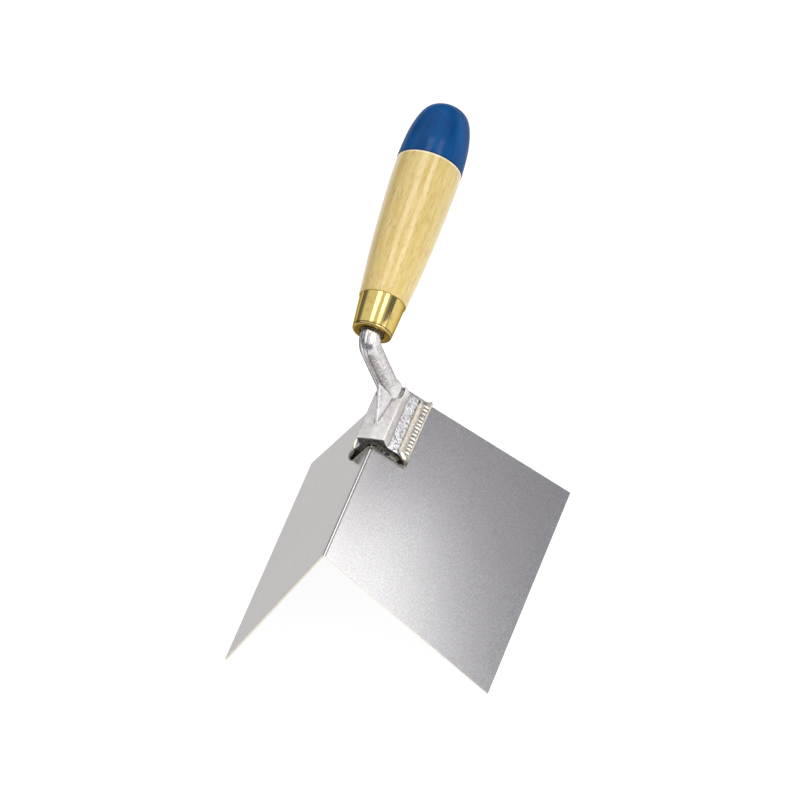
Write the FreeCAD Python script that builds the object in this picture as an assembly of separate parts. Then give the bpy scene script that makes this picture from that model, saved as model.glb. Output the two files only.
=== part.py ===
"""Outside corner trowel: a sheet folded to an inside-out V, worked along an outside wall corner.

Millimetres. +X runs across the fold, +Y runs along it towards the handle, +Z is up.
The tool stands on the two long outer edges of its wings, like a small tent, and its
mirror plane is x = 0. Everything is built from the rear end of the fold and is then
moved, so that the origin lies under the middle of the tool.
"""
import FreeCAD, Part
import math
import os
from FreeCAD import Vector

# Folded blade
FOLD_ANGLE = 88.0
BLADE_THICKNESS = 1.0
FOLD_LENGTH = 110.0
WING_WIDTH = 108.3
WING_OUTER_LENGTH = 129.4
BLADE_BEND_RADIUS = 1.2

# Folded steel bracket, welded on the blade and crimped over the casting
BRACKET_THICKNESS = 1.2
BRACKET_LENGTH = 40.8
ROLL_CENTRE_U = 18.8
ROLL_RADIUS = 2.2
LIP_U = 13.6
LIP_HEIGHT = 5.5
DISH_U = 16.2
DISH_HEIGHT = 4.5
LIP_LEAN = 0.3
LIP_REAR = 3.4
LIP_FRONT = 37.4
FLAP_TAPER_U = 17.0
FLAP_TAPER_SHARE = 0.3
FLAP_TAPER_END_U = 19.4
CRIMP_COUNT = 14
CRIMP_PITCH = 2.3
CRIMP_RADIUS = 1.1
CRIMP_DEPTH = 0.35
CRIMP_START_U = 15.1
CRIMP_LENGTH = 4.0

# Resistance welds between the blade and the bracket
WELD_DIAMETER = 5.0
WELD_U = 10.5
WELD_PLACES = (7.5, 20.4, 33.3)
WELD_DEPTH = 0.5

# Shank casting: foot, gusset, neck and tang in one piece
FOOT_REAR = 3.2
FOOT_FRONT = 38.2
FLANGE_HEIGHT = 4.2
FLANGE_END_U = 18.5
CRIMP_CLEARANCE = 0.06
ROOF_HALF_WIDTH = 8.0
ROOF_EDGE_Z = 3.8
ROOF_RIDGE_Z = 4.4
WALL_U = 7.1
NECK_DIAMETER = 11.2
NECK_Y = -7.2
NECK_FLARE_RADIUS = 7.0
NECK_FLARE_HEIGHT = 6.5
NECK_BEND_RADIUS = 6.0
GUSSET_TOP_Z = 17.1
GUSSET_FRONT_Y = -29.3
GUSSET_BASE_HALF = 4.2
GUSSET_TOP_HALF = 1.0
GUSSET_RIDGE_HALF = 0.7
GUSSET_OVERLAP = 1.5
GUSSET_TOP_PROUD = 0.7
FLASH_HALF = 0.45
FLASH_PROUD = 0.4

# Handle, measured along its own axis from the ferrule's rim
HANDLE_RISE = 8.19
RIM_Y = -1.8
RIM_Z = 44.04
FERRULE_LENGTH = 19.0
FERRULE_RIM_RADIUS = 10.35
FERRULE_TOP_RADIUS = 12.05
FERRULE_WALL = 0.7
FERRULE_EDGE_ROUND = 0.9
FERRULE_HOLE_RADIUS = 6.1
TANG_LENGTH = 72.0
TANG_COLLAR_END = 1.5
TANG_START_RADIUS = 5.0
TANG_END_RADIUS = 3.4
WOOD_OUTLINE = (
    (FERRULE_LENGTH, 12.65),
    (45.0, 15.05),
    (72.0, 16.7),
    (91.0, 17.35),
    (106.0, 17.1),
    (117.5, 16.0),
    (126.5, 13.8),
    (132.3, 10.7),
)
HANDLE_LENGTH = 136.2
DIP_START = 100.0
DIP_THICKNESS = 0.2

# How far a cutting shape runs past what it cuts
CUT_MARGIN = 2.0

HALF_ANGLE = math.radians(FOLD_ANGLE / 2)
RISE = math.radians(HANDLE_RISE)
AXIS_START = Vector(0, RIM_Y, RIM_Z)
AXIS_DIRECTION = Vector(0, math.cos(RISE), math.sin(RISE))
AXIS_UP = Vector(0, -math.sin(RISE), math.cos(RISE))


def on_wing(side, u, height, y=0.0):
    """Point at u down the wing from the fold and at a height off the blade's outer face."""
    x = u * math.sin(HALF_ANGLE) + height * math.cos(HALF_ANGLE)
    z = height * math.sin(HALF_ANGLE) - u * math.cos(HALF_ANGLE)
    return Vector(side * x, y, z)


def wing_normal(side):
    return Vector(side * math.cos(HALF_ANGLE), 0, math.sin(HALF_ANGLE))


def wing_down(side):
    return Vector(side * math.sin(HALF_ANGLE), 0, -math.cos(HALF_ANGLE))


def fold_arc(height, radius):
    """Left, top and right point of the bend in a folded face, at a height off the blade."""
    centre_z = (height - radius) / math.sin(HALF_ANGLE)
    tangent_x = radius * math.cos(HALF_ANGLE)
    tangent_z = centre_z + radius * math.sin(HALF_ANGLE)
    return (
        Vector(-tangent_x, 0, tangent_z),
        Vector(0, 0, centre_z + radius),
        Vector(tangent_x, 0, tangent_z),
    )


def segment(start, end):
    return Part.LineSegment(start, end).toShape()


def arc(start, middle, end):
    return Part.Arc(start, middle, end).toShape()


def prism(edges, rear, front):
    """Solid from a closed outline across the fold, from y = -rear to y = -front."""
    wire = Part.Wire(Part.__sortEdges__(edges))
    solid = Part.Face(wire).extrude(Vector(0, rear - front, 0))
    solid.translate(Vector(0, -rear, 0))
    return solid


def folded_sheet(low, high, radius, u_end, length):
    """A folded sheet between two heights off the blade; radius is that of its upper face."""
    low_left, low_top, low_right = fold_arc(low, radius - (high - low))
    high_left, high_top, high_right = fold_arc(high, radius)
    edges = [
        segment(on_wing(-1, u_end, low), on_wing(-1, u_end, high)),
        segment(on_wing(-1, u_end, high), high_left),
        arc(high_left, high_top, high_right),
        segment(high_right, on_wing(1, u_end, high)),
        segment(on_wing(1, u_end, high), on_wing(1, u_end, low)),
        segment(on_wing(1, u_end, low), low_right),
        arc(low_right, low_top, low_left),
        segment(low_left, on_wing(-1, u_end, low)),
    ]
    return prism(edges, 0, length)


def blade():
    """Folded sheet whose front edges run forward from the fold to the outer corners."""
    sheet = folded_sheet(-BLADE_THICKNESS, 0, BLADE_BEND_RADIUS, WING_WIDTH, WING_OUTER_LENGTH)
    slope = (WING_OUTER_LENGTH - FOLD_LENGTH) / WING_WIDTH
    inner_y = -FOLD_LENGTH + slope * CUT_MARGIN
    outer_y = -WING_OUTER_LENGTH - slope * CUT_MARGIN
    corners = [
        (-CUT_MARGIN, inner_y),
        (WING_WIDTH + CUT_MARGIN, outer_y),
        (WING_WIDTH + CUT_MARGIN, outer_y - FOLD_LENGTH),
        (-CUT_MARGIN, inner_y - FOLD_LENGTH),
    ]
    for side in (-1, 1):
        points = [on_wing(side, u, -CUT_MARGIN, y) for u, y in corners]
        waste = Part.Face(Part.makePolygon(points + points[:1]))
        waste = waste.extrude(wing_normal(side) * 2 * CUT_MARGIN)
        half = Part.makeBox(WING_WIDTH, 2 * FOLD_LENGTH, WING_WIDTH + CUT_MARGIN)
        half.translate(Vector(0 if side > 0 else -WING_WIDTH, -2 * FOLD_LENGTH, -WING_WIDTH))
        sheet = sheet.cut(waste.common(half))
    return sheet.cut(spot_welds())


def crimp_outline(side, offset):
    """Crimped edge from its lip to the roll's foot, moved inwards by offset from the outside."""
    lip = on_wing(side, LIP_U + LIP_LEAN * offset, LIP_HEIGHT - offset)
    dish = on_wing(side, DISH_U, DISH_HEIGHT - offset)
    top = on_wing(side, ROLL_CENTRE_U, 2 * ROLL_RADIUS - offset)
    out = on_wing(side, ROLL_CENTRE_U + ROLL_RADIUS - offset, ROLL_RADIUS)
    foot = on_wing(side, ROLL_CENTRE_U, offset)
    return lip, dish, top, out, foot


def crimped_end(side):
    """Edges of one rolled-over leg, from the leg's lower face round to its upper face."""
    lip, dish, top, out, foot = crimp_outline(side, 0)
    lip_in, dish_in, top_in, out_in, foot_in = crimp_outline(side, BRACKET_THICKNESS)
    return [
        arc(foot, out, top),
        arc(top, dish, lip),
        segment(lip, lip_in),
        arc(lip_in, dish_in, top_in),
        arc(top_in, out_in, foot_in),
    ]


def flap_end_waste(side, y_lip, y_end):
    """Corner cut away where the crimped flap tapers towards an end of the bracket."""
    taper_y = y_lip + FLAP_TAPER_SHARE * (y_end - y_lip)
    corners = (
        (LIP_U - CUT_MARGIN, y_lip),
        (LIP_U, y_lip),
        (FLAP_TAPER_U, taper_y),
        (FLAP_TAPER_END_U, y_end),
        (LIP_U - CUT_MARGIN, y_end),
    )
    points = [on_wing(side, u, ROLL_RADIUS, y) for u, y in corners]
    face = Part.Face(Part.makePolygon(points + points[:1]))
    return face.extrude(wing_normal(side) * LIP_HEIGHT)


def cross_crimps(side):
    """Row of shallow rounded presses across one flap."""
    middle = (LIP_REAR + LIP_FRONT) / 2
    start_height = DISH_HEIGHT + CRIMP_RADIUS - CRIMP_DEPTH
    presses = []
    for i in range(CRIMP_COUNT):
        y = -middle + CRIMP_PITCH * (i - (CRIMP_COUNT - 1) / 2)
        start = on_wing(side, CRIMP_START_U, start_height, y)
        presses.append(Part.makeCylinder(CRIMP_RADIUS, CRIMP_LENGTH, start, wing_down(side)))
    return Part.makeCompound(presses)


def mounting_bracket():
    """Folded bracket with both long edges rolled back and crimped over the casting."""
    high = BRACKET_THICKNESS
    under_left, under_top, under_right = fold_arc(0, BLADE_BEND_RADIUS)
    over_left, over_top, over_right = fold_arc(high, BLADE_BEND_RADIUS + high)
    left_foot = on_wing(-1, ROLL_CENTRE_U, 0)
    right_foot = on_wing(1, ROLL_CENTRE_U, 0)
    edges = crimped_end(-1) + crimped_end(1)
    edges += [
        segment(left_foot, under_left),
        arc(under_left, under_top, under_right),
        segment(under_right, right_foot),
        segment(on_wing(-1, ROLL_CENTRE_U, high), over_left),
        arc(over_left, over_top, over_right),
        segment(over_right, on_wing(1, ROLL_CENTRE_U, high)),
    ]
    body = prism(edges, 0, BRACKET_LENGTH)
    for side in (-1, 1):
        body = body.cut(flap_end_waste(side, -LIP_REAR, CUT_MARGIN / 2))
        body = body.cut(flap_end_waste(side, -LIP_FRONT, -BRACKET_LENGTH - CUT_MARGIN / 2))
        body = body.cut(cross_crimps(side))
    return body.cut(spot_welds())


def spot_welds():
    """Weld nuggets through the joint, half in the blade and half in the bracket."""
    nuggets = []
    for side in (-1, 1):
        for place in WELD_PLACES:
            start = on_wing(side, WELD_U, -WELD_DEPTH, -place)
            nuggets.append(
                Part.makeCylinder(WELD_DIAMETER / 2, 2 * WELD_DEPTH, start, wing_normal(side))
            )
    return Part.makeCompound(nuggets)


def flange_edges(side):
    """Outline of one casting flange, from the roof's edge out and back to the bracket."""
    gap = BRACKET_THICKNESS + CRIMP_CLEARANCE
    lip, dish, _, _, _ = crimp_outline(side, gap)
    dish_end = on_wing(side, FLANGE_END_U, 2 * ROLL_RADIUS - gap)
    wall_foot = on_wing(side, WALL_U, FLANGE_HEIGHT)
    roof_edge = Vector(side * ROOF_HALF_WIDTH, 0, ROOF_EDGE_Z)
    return [
        segment(Vector(0, 0, ROOF_RIDGE_Z), roof_edge),
        segment(roof_edge, wall_foot),
        segment(wall_foot, lip),
        arc(lip, dish, dish_end),
        segment(dish_end, on_wing(side, FLANGE_END_U, BRACKET_THICKNESS)),
    ]


def foot():
    """Saddle of the casting, which the bracket's crimped edges hold down."""
    high = BRACKET_THICKNESS
    left, top, right = fold_arc(high, BLADE_BEND_RADIUS + high)
    edges = flange_edges(-1) + flange_edges(1)
    edges += [
        segment(on_wing(-1, FLANGE_END_U, high), left),
        arc(left, top, right),
        segment(right, on_wing(1, FLANGE_END_U, high)),
    ]
    return prism(edges, FOOT_REAR, FOOT_FRONT)


def gusset():
    """Web that braces the neck, narrowing to a ridge and running out on the roof."""
    inside_y = NECK_Y - GUSSET_OVERLAP
    neck_front = NECK_Y - NECK_DIAMETER / 2 - GUSSET_TOP_PROUD
    levels = (
        (ROOF_EDGE_Z, GUSSET_BASE_HALF, GUSSET_FRONT_Y),
        (GUSSET_TOP_Z, GUSSET_TOP_HALF, neck_front),
    )
    wires = []
    for z, half, front in levels:
        points = [
            Vector(-half, inside_y, z),
            Vector(half, inside_y, z),
            Vector(GUSSET_RIDGE_HALF, front, z),
            Vector(-GUSSET_RIDGE_HALF, front, z),
        ]
        wires.append(Part.makePolygon(points + points[:1]))
    return Part.makeLoft(wires, True, True)


def neck_corner():
    """Where the upright neck's axis meets the handle's axis."""
    return Vector(0, NECK_Y, RIM_Z + (NECK_Y - RIM_Y) * math.tan(RISE))


def bend_reach():
    return NECK_BEND_RADIUS * math.tan((math.pi / 2 - RISE) / 2)


def neck():
    """Round neck: a flared foot, an upright run and a tight bend into the handle's axis."""
    radius = NECK_DIAMETER / 2
    bend_z = neck_corner().z - bend_reach()
    base = Vector(0, NECK_Y, BRACKET_THICKNESS + ROOF_EDGE_Z / 2)
    upright = Part.makeCylinder(radius, bend_z - base.z, base)
    flare = Part.makeCone(NECK_FLARE_RADIUS, radius, NECK_FLARE_HEIGHT, Vector(0, NECK_Y, ROOF_EDGE_Z))
    disc = Part.Face(Part.Wire(Part.makeCircle(radius, Vector(0, NECK_Y, bend_z), Vector(0, 0, 1))))
    pivot = Vector(0, NECK_Y + NECK_BEND_RADIUS, bend_z)
    bend = disc.revolve(pivot, Vector(-1, 0, 0), 90 - HANDLE_RISE)
    return upright.fuse([flare, bend])


def parting_flash():
    """Thin ridge left by the mould's parting line, in the mirror plane round the neck."""
    reach = NECK_DIAMETER / 2 + FLASH_PROUD
    bend_z = neck_corner().z - bend_reach()
    base_z = ROOF_EDGE_Z
    upright = Part.makeBox(2 * FLASH_HALF, 2 * reach, bend_z - base_z)
    upright.translate(Vector(-FLASH_HALF, NECK_Y - reach, base_z))
    corners = [
        Vector(-FLASH_HALF, NECK_Y - reach, bend_z),
        Vector(FLASH_HALF, NECK_Y - reach, bend_z),
        Vector(FLASH_HALF, NECK_Y + reach, bend_z),
        Vector(-FLASH_HALF, NECK_Y + reach, bend_z),
    ]
    end = Part.Face(Part.makePolygon(corners + corners[:1]))
    pivot = Vector(0, NECK_Y + NECK_BEND_RADIUS, bend_z)
    return upright.fuse(end.revolve(pivot, Vector(-1, 0, 0), 90 - HANDLE_RISE))


def along_axis(s, radius=0.0):
    return AXIS_START + AXIS_DIRECTION * s + AXIS_UP * radius


def turned(edges):
    """Solid of revolution about the handle's axis from edges that close on themselves."""
    face = Part.Face(Part.Wire(Part.__sortEdges__(edges)))
    return face.revolve(AXIS_START, AXIS_DIRECTION, 360)


def closed_chain(points):
    return [segment(a, b) for a, b in zip(points, points[1:] + points[:1])]


def tang():
    """Tapered tang inside the handle, cast in one piece with the neck."""
    start = bend_reach() - (RIM_Y - NECK_Y) / math.cos(RISE)
    collar_length = TANG_COLLAR_END - start
    taper_length = TANG_LENGTH - TANG_COLLAR_END
    collar = Part.makeCylinder(TANG_START_RADIUS, collar_length, along_axis(start), AXIS_DIRECTION)
    taper_start = along_axis(TANG_COLLAR_END)
    taper = Part.makeCone(
        TANG_START_RADIUS, TANG_END_RADIUS, taper_length, taper_start, AXIS_DIRECTION
    )
    return collar.fuse(taper)


def shank_casting():
    return foot().fuse([gusset(), neck(), parting_flash(), tang()]).removeSplitter()


def ferrule_radius(s):
    share = s / FERRULE_LENGTH
    return FERRULE_RIM_RADIUS + (FERRULE_TOP_RADIUS - FERRULE_RIM_RADIUS) * share


def ferrule():
    """Tapered brass cup with a rounded rim that turns in round the neck."""
    edge = FERRULE_EDGE_ROUND
    corner = edge * (1 - math.sqrt(0.5))
    rim_face = along_axis(0, ferrule_radius(0) - edge)
    rim_middle = along_axis(corner, ferrule_radius(0) - corner)
    rim_side = along_axis(edge, ferrule_radius(edge))
    top = along_axis(FERRULE_LENGTH, FERRULE_TOP_RADIUS)
    top_in = along_axis(FERRULE_LENGTH, FERRULE_TOP_RADIUS - FERRULE_WALL)
    base_in = along_axis(FERRULE_WALL, ferrule_radius(FERRULE_WALL) - FERRULE_WALL)
    hole_in = along_axis(FERRULE_WALL, FERRULE_HOLE_RADIUS)
    hole = along_axis(0, FERRULE_HOLE_RADIUS)
    edges = [arc(rim_face, rim_middle, rim_side)]
    chain = [rim_side, top, top_in, base_in, hole_in, hole, rim_face]
    edges += [segment(a, b) for a, b in zip(chain, chain[1:])]
    return turned(edges)


def outline_curve(extra):
    """Turned outline of the handle beyond the ferrule, offset outwards by extra."""
    points = [along_axis(s, radius + extra) for s, radius in WOOD_OUTLINE]
    tip = along_axis(HANDLE_LENGTH + extra)
    curve = Part.BSplineCurve()
    slope = (WOOD_OUTLINE[1][1] - WOOD_OUTLINE[0][1]) / (WOOD_OUTLINE[1][0] - WOOD_OUTLINE[0][0])
    curve.interpolate(
        Points=points + [tip],
        InitialTangent=AXIS_DIRECTION + AXIS_UP * slope,
        FinalTangent=AXIS_UP * -1,
    )
    return curve.toShape(), points[0], tip


def wood_body():
    """Turned handle with its seat for the ferrule, before it is bored."""
    curve, shoulder, tip = outline_curve(0)
    seat_end = along_axis(FERRULE_LENGTH, FERRULE_TOP_RADIUS - FERRULE_WALL)
    seat_start = along_axis(FERRULE_WALL, ferrule_radius(FERRULE_WALL) - FERRULE_WALL)
    base = along_axis(FERRULE_WALL)
    edges = [
        curve,
        segment(shoulder, seat_end),
        segment(seat_end, seat_start),
        segment(seat_start, base),
        segment(base, tip),
    ]
    return turned(edges)


def handle():
    return wood_body().cut(tang())


def handle_end_dip():
    """Film of lacquer over the handle's end."""
    curve, shoulder, tip = outline_curve(DIP_THICKNESS)
    base = along_axis(FERRULE_LENGTH)
    cover = turned([curve, segment(shoulder, base), segment(base, tip)])
    reach = HANDLE_LENGTH - DIP_START + CUT_MARGIN
    widest = max(radius for _, radius in WOOD_OUTLINE) + CUT_MARGIN
    end = Part.makeCylinder(widest, reach, along_axis(DIP_START), AXIS_DIRECTION)
    return cover.common(end).cut(wood_body())


def main():
    nodes = {
        "blade": blade(),
        "mounting_bracket": mounting_bracket(),
        "spot_welds": spot_welds(),
        "shank_casting": shank_casting(),
        "ferrule": ferrule(),
        "handle": handle(),
        "handle_end_dip": handle_end_dip(),
    }
    box = Part.makeCompound(list(nodes.values())).optimalBoundingBox(False)
    shift = Vector(0, -(box.YMin + box.YMax) / 2, -box.ZMin)
    os.makedirs("parts", exist_ok=True)
    print("fold's rear end at", [round(v, 3) for v in shift])
    for name, shape in nodes.items():
        shape.translate(shift)
        shape.exportStep(f"parts/{name}.step")
        print(name, shape.isValid(), len(shape.Solids), round(shape.Volume, 1))


main()
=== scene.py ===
"""Looks of the outside corner trowel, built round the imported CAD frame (metres, +Z up)."""
import math
import random

import bmesh
import bpy
from mathutils import Matrix, Vector, noise


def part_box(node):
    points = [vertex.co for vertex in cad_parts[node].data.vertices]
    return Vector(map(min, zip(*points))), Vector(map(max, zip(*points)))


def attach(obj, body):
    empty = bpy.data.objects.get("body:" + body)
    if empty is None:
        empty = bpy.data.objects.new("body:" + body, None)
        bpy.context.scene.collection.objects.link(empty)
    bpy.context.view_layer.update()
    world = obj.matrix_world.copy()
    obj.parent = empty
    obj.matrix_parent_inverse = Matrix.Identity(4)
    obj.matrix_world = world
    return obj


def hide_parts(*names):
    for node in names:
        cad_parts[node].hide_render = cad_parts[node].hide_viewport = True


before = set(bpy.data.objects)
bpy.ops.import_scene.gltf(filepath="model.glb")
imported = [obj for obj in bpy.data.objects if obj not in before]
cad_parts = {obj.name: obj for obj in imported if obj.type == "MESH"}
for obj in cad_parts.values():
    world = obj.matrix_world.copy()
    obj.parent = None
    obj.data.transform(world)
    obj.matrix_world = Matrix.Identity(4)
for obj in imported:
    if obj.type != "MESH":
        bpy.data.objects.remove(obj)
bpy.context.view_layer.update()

MM = 0.001
HALF_ANGLE = math.radians(44)
SIN_HALF = math.sin(HALF_ANGLE)
COS_HALF = math.cos(HALF_ANGLE)

# Blade and bracket, millimetres
BLADE_THICKNESS = 1.0
BLADE_BEND = 1.2
FOLD_LENGTH = 110.0
WING_WIDTH = 108.3
WING_OUTER_LENGTH = 129.4
BRACKET_THICKNESS = 1.2
BRACKET_LENGTH = 40.8
ROLL_U = 18.8
ROLL_RADIUS = 2.2
LIP = (13.6, 5.5)
DISH = (16.2, 4.5)
LIP_SETBACK = 3.4
CRIMP_COUNT = 14
CRIMP_PITCH = 2.3
CRIMP_DEPTH = 0.26
CRIMP_HALF_WIDTH = CRIMP_PITCH * 0.26
FLAT_START = 2.2
FLAP_END_DROP = 0.9
FLAP_END_LENGTH = 2.6
FOLD_DARK_LINE = 0.85  # from the fold to the painted dark reflection line on either side of it

# Casting, millimetres
NECK_Y = -7.2
NECK_RADIUS = 5.6
NECK_FLARE = 7.1
WALL_U = 7.1
FLANGE_HEIGHT = 4.2
GUSSET_TOP = 17.1
GUSSET_FRONT = -29.3
GUSSET_HALF = 4.2
GUSSET_TOP_HALF = 1.0
GUSSET_RIDGE = 0.7
ROOF_EDGE = 3.8
ROOF_SHADE_TOP = 5.4
NECK_SHADE_START = 5
FOOT_CREASE_RADIUS = 7.3
FOOT_CREASE_DEPTH = 0.9
CAST_VOXEL = 0.315  # keeps the skin under 200 000 faces

# Handle, millimetres along its own axis from the ferrule's rim
RISE = math.radians(8.19)
RIM = (-1.8, 44.04)
FERRULE_LENGTH = 19.0
FERRULE_RIM = 10.35
FERRULE_TOP = 12.05
FERRULE_WALL = 0.7
FERRULE_HOLE = 6.1
WOOD_OUTLINE = (
    (19.0, 12.65), (45.0, 15.05), (72.0, 16.7), (91.0, 17.35),
    (106.0, 17.1), (117.5, 16.0), (126.5, 13.8), (132.3, 10.7),
)
HANDLE_LENGTH = 136.2
DIP_START = 100.0
DIP_THICKNESS = 0.19  # a hair under the CAD's 0.2, to stay inside the box of its mesh
RIM_ROUND_END = 1.35
TANG = ((1.5, 5.0), (72.0, 3.4))
TURN_STEPS = 128

# The virtual edge of the fold at its rear end, from the blade's own box
blade_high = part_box("blade")[1]
FOLD_REAR = Vector((0, blade_high[1], blade_high[2] + BLADE_BEND * (1 / SIN_HALF - 1) * MM))

AXIS = Vector((0, math.cos(RISE), math.sin(RISE)))
AXIS_UP = Vector((0, -math.sin(RISE), math.cos(RISE)))
RIM_CENTRE = FOLD_REAR + Vector((0, RIM[0], RIM[1])) * MM

# Sky: how high it is dim and from where it is bright, as the sine of the elevation
SKY_DIM_BELOW = 0.36
SKY_BRIGHT_ABOVE = 0.64
HORIZON_LIGHT = (0.20, 0.213, 0.285)
OVERHEAD_LIGHT = (0.94, 0.93, 0.92)

# Softboxes, metres: where the key stands, and the way to each strip from the ferrule's rim
KEY_PLACE = (1.15, -0.75, 1.0)
KEY_AIM = (0, 0, 0.08)
KEY_SIZE = (0.7, 0.9)
KEY_RADIANCE = 1.6
STRIP_DISTANCE = 1.15
STRIP_LENGTH = 0.55
STRIPS = (
    ("left_strip", (0.08, 0.29, 0.94), 0.34, 3.0),
    ("right_strip", (0.61, 0.33, 0.72), 0.28, 3.2),
)

# Softbox near the right wing, metres: the way to it, the way it fades, and its two near edges
WING_LIGHT_WAY = Vector((0.745, 0.530, 0.405)).normalized()
WING_LIGHT_FADE = Vector((0.239, 0.356, -0.903)).normalized()
WING_LIGHT_DISTANCE = 0.25
WING_LIGHT_WIDTH = 0.26
WING_LIGHT_HEIGHT = 0.25
WING_LIGHT_LOWER_EDGE = 0.047
WING_LIGHT_REAR_EDGE = 0.016
WING_LIGHT_RADIANCE = 1.98
WING_LIGHT_COLOUR = (0.95, 0.98, 1.0)

# Camera: where it stands round the tool, how it is turned, and its lens
CAMERA_AZIMUTH = 39.12
CAMERA_ELEVATION = 46.95
CAMERA_ROLL = 24.57
CAMERA_DISTANCE = 3.08
CAMERA_LENS = 270.1
CAMERA_AIM = Vector((0.0020, -0.0055, -0.0052))


def on_wing(side, u, height, y=0.0):
    """Point u down a wing from the fold, height off its outer face, y behind the fold's rear."""
    x = u * SIN_HALF + height * COS_HALF
    z = height * SIN_HALF - u * COS_HALF
    return FOLD_REAR + Vector((side * x, y, z)) * MM


def smoothstep(low, high, value):
    """Smooth rise from 0 at low to 1 at high."""
    share = min(max((value - low) / (high - low), 0), 1)
    return share * share * (3 - 2 * share)


# ---------------------------------------------------------------- mesh helpers

def add_object(name, mesh):
    obj = bpy.data.objects.new(name, mesh)
    bpy.context.scene.collection.objects.link(obj)
    return obj


def mesh_from(name, points, faces):
    mesh = bpy.data.meshes.new(name)
    mesh.from_pydata([tuple(p) for p in points], [], faces)
    mesh.validate()
    return add_object(name, mesh)


def shade(obj, sharp_degrees=35):
    """Smooth shading with edges kept sharp where faces meet at more than the angle."""
    work = bmesh.new()
    work.from_mesh(obj.data)
    bmesh.ops.recalc_face_normals(work, faces=work.faces)
    for face in work.faces:
        face.smooth = True
    for edge in work.edges:
        turn = edge.calc_face_angle(0)
        edge.smooth = turn < math.radians(sharp_degrees)
    work.to_mesh(obj.data)
    work.free()


def modify(obj, kind, **values):
    modifier = obj.modifiers.new(kind.lower(), kind)
    for key, value in values.items():
        setattr(modifier, key, value)
    return modifier


def apply_modifiers(obj):
    graph = bpy.context.evaluated_depsgraph_get()
    baked = bpy.data.meshes.new_from_object(obj.evaluated_get(graph))
    obj.modifiers.clear()
    obj.data = baked


def arc_through(a, b, c, steps):
    """Points on the circle through three points in a plane, from a to c."""
    ax, ay = a
    bx, by = b
    cx, cy = c
    d = 2 * (ax * (by - cy) + bx * (cy - ay) + cx * (ay - by))
    a2, b2, c2 = ax * ax + ay * ay, bx * bx + by * by, cx * cx + cy * cy
    ox = (a2 * (by - cy) + b2 * (cy - ay) + c2 * (ay - by)) / d
    oy = (a2 * (cx - bx) + b2 * (ax - cx) + c2 * (bx - ax)) / d
    start = math.atan2(ay - oy, ax - ox)
    end = math.atan2(cy - oy, cx - ox)
    turn = (end - start + math.pi) % (2 * math.pi) - math.pi
    radius = math.hypot(ax - ox, ay - oy)
    return [
        (ox + radius * math.cos(start + turn * i / steps),
         oy + radius * math.sin(start + turn * i / steps))
        for i in range(steps + 1)
    ]


def lathe(name, outline, steps=TURN_STEPS):
    """Closed turned body from (along, radius) points in millimetres; ends on the axis join up."""
    points = []
    rings = []
    for along, radius in outline:
        centre = RIM_CENTRE + AXIS * along * MM
        if radius < 1e-6:
            rings.append([len(points)])
            points.append(centre)
            continue
        ring = []
        for i in range(steps):
            angle = 2 * math.pi * i / steps
            ring.append(len(points))
            spoke = AXIS_UP * math.cos(angle) + Vector((1, 0, 0)) * math.sin(angle)
            points.append(centre + spoke * radius * MM)
        rings.append(ring)
    closed = len(rings[0]) > 1
    pairs = list(zip(rings, rings[1:]))
    if closed:
        pairs.append((rings[-1], rings[0]))
    faces = []
    for first, second in pairs:
        for i in range(steps):
            j = (i + 1) % steps
            if len(first) == 1:
                faces.append((first[0], second[i], second[j]))
            elif len(second) == 1:
                faces.append((first[i], second[0], first[j]))
            else:
                faces.append((first[i], second[i], second[j], first[j]))
    return mesh_from(name, points, faces)


def hermite(start, start_slope, end, end_slope, steps):
    """Points on a cubic from just after start to end, along the given end slopes."""
    points = []
    for i in range(1, steps + 1):
        t = i / steps
        points.append(tuple(
            start * (2 * t ** 3 - 3 * t ** 2 + 1) + start_slope * (t ** 3 - 2 * t ** 2 + t)
            + end * (3 * t ** 2 - 2 * t ** 3) + end_slope * (t ** 3 - t ** 2)
        ))
    return points


def spline_outline(knots, first_way, last_way, steps):
    """Smooth cubic spline through (along, radius) knots that starts and ends along two ways."""
    knots = [Vector(knot) for knot in knots]
    gaps = [(b - a).length for a, b in zip(knots, knots[1:])]
    ways = [Vector(first_way).normalized()]
    ways += [(c - a).normalized() for a, c in zip(knots, knots[2:])]
    ways.append(Vector(last_way).normalized())
    for _ in range(40):
        for i in range(1, len(knots) - 1):
            before, after = gaps[i - 1], gaps[i]
            rate = (knots[i] - knots[i - 1]) * after / before + (knots[i + 1] - knots[i]) * before / after
            rate = 3 * rate - ways[i - 1] * after - ways[i + 1] * before
            ways[i] = rate / (2 * (before + after))
    points = [tuple(knots[0])]
    for i, gap in enumerate(gaps):
        points += hermite(knots[i], ways[i] * gap, knots[i + 1], ways[i + 1] * gap, steps)
    return points


def rounded(corner, before, after, radius, steps=4):
    """Corner of an outline replaced by a small arc that is tangent to its two sides."""
    corner, before, after = Vector(corner), Vector(before), Vector(after)
    start = corner + (before - corner).normalized() * radius
    end = corner + (after - corner).normalized() * radius
    return [
        tuple(start * (1 - t) ** 2 + corner * 2 * t * (1 - t) + end * t ** 2)
        for t in (i / steps for i in range(steps + 1))
    ]


# ---------------------------------------------------------------- node helpers

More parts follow.
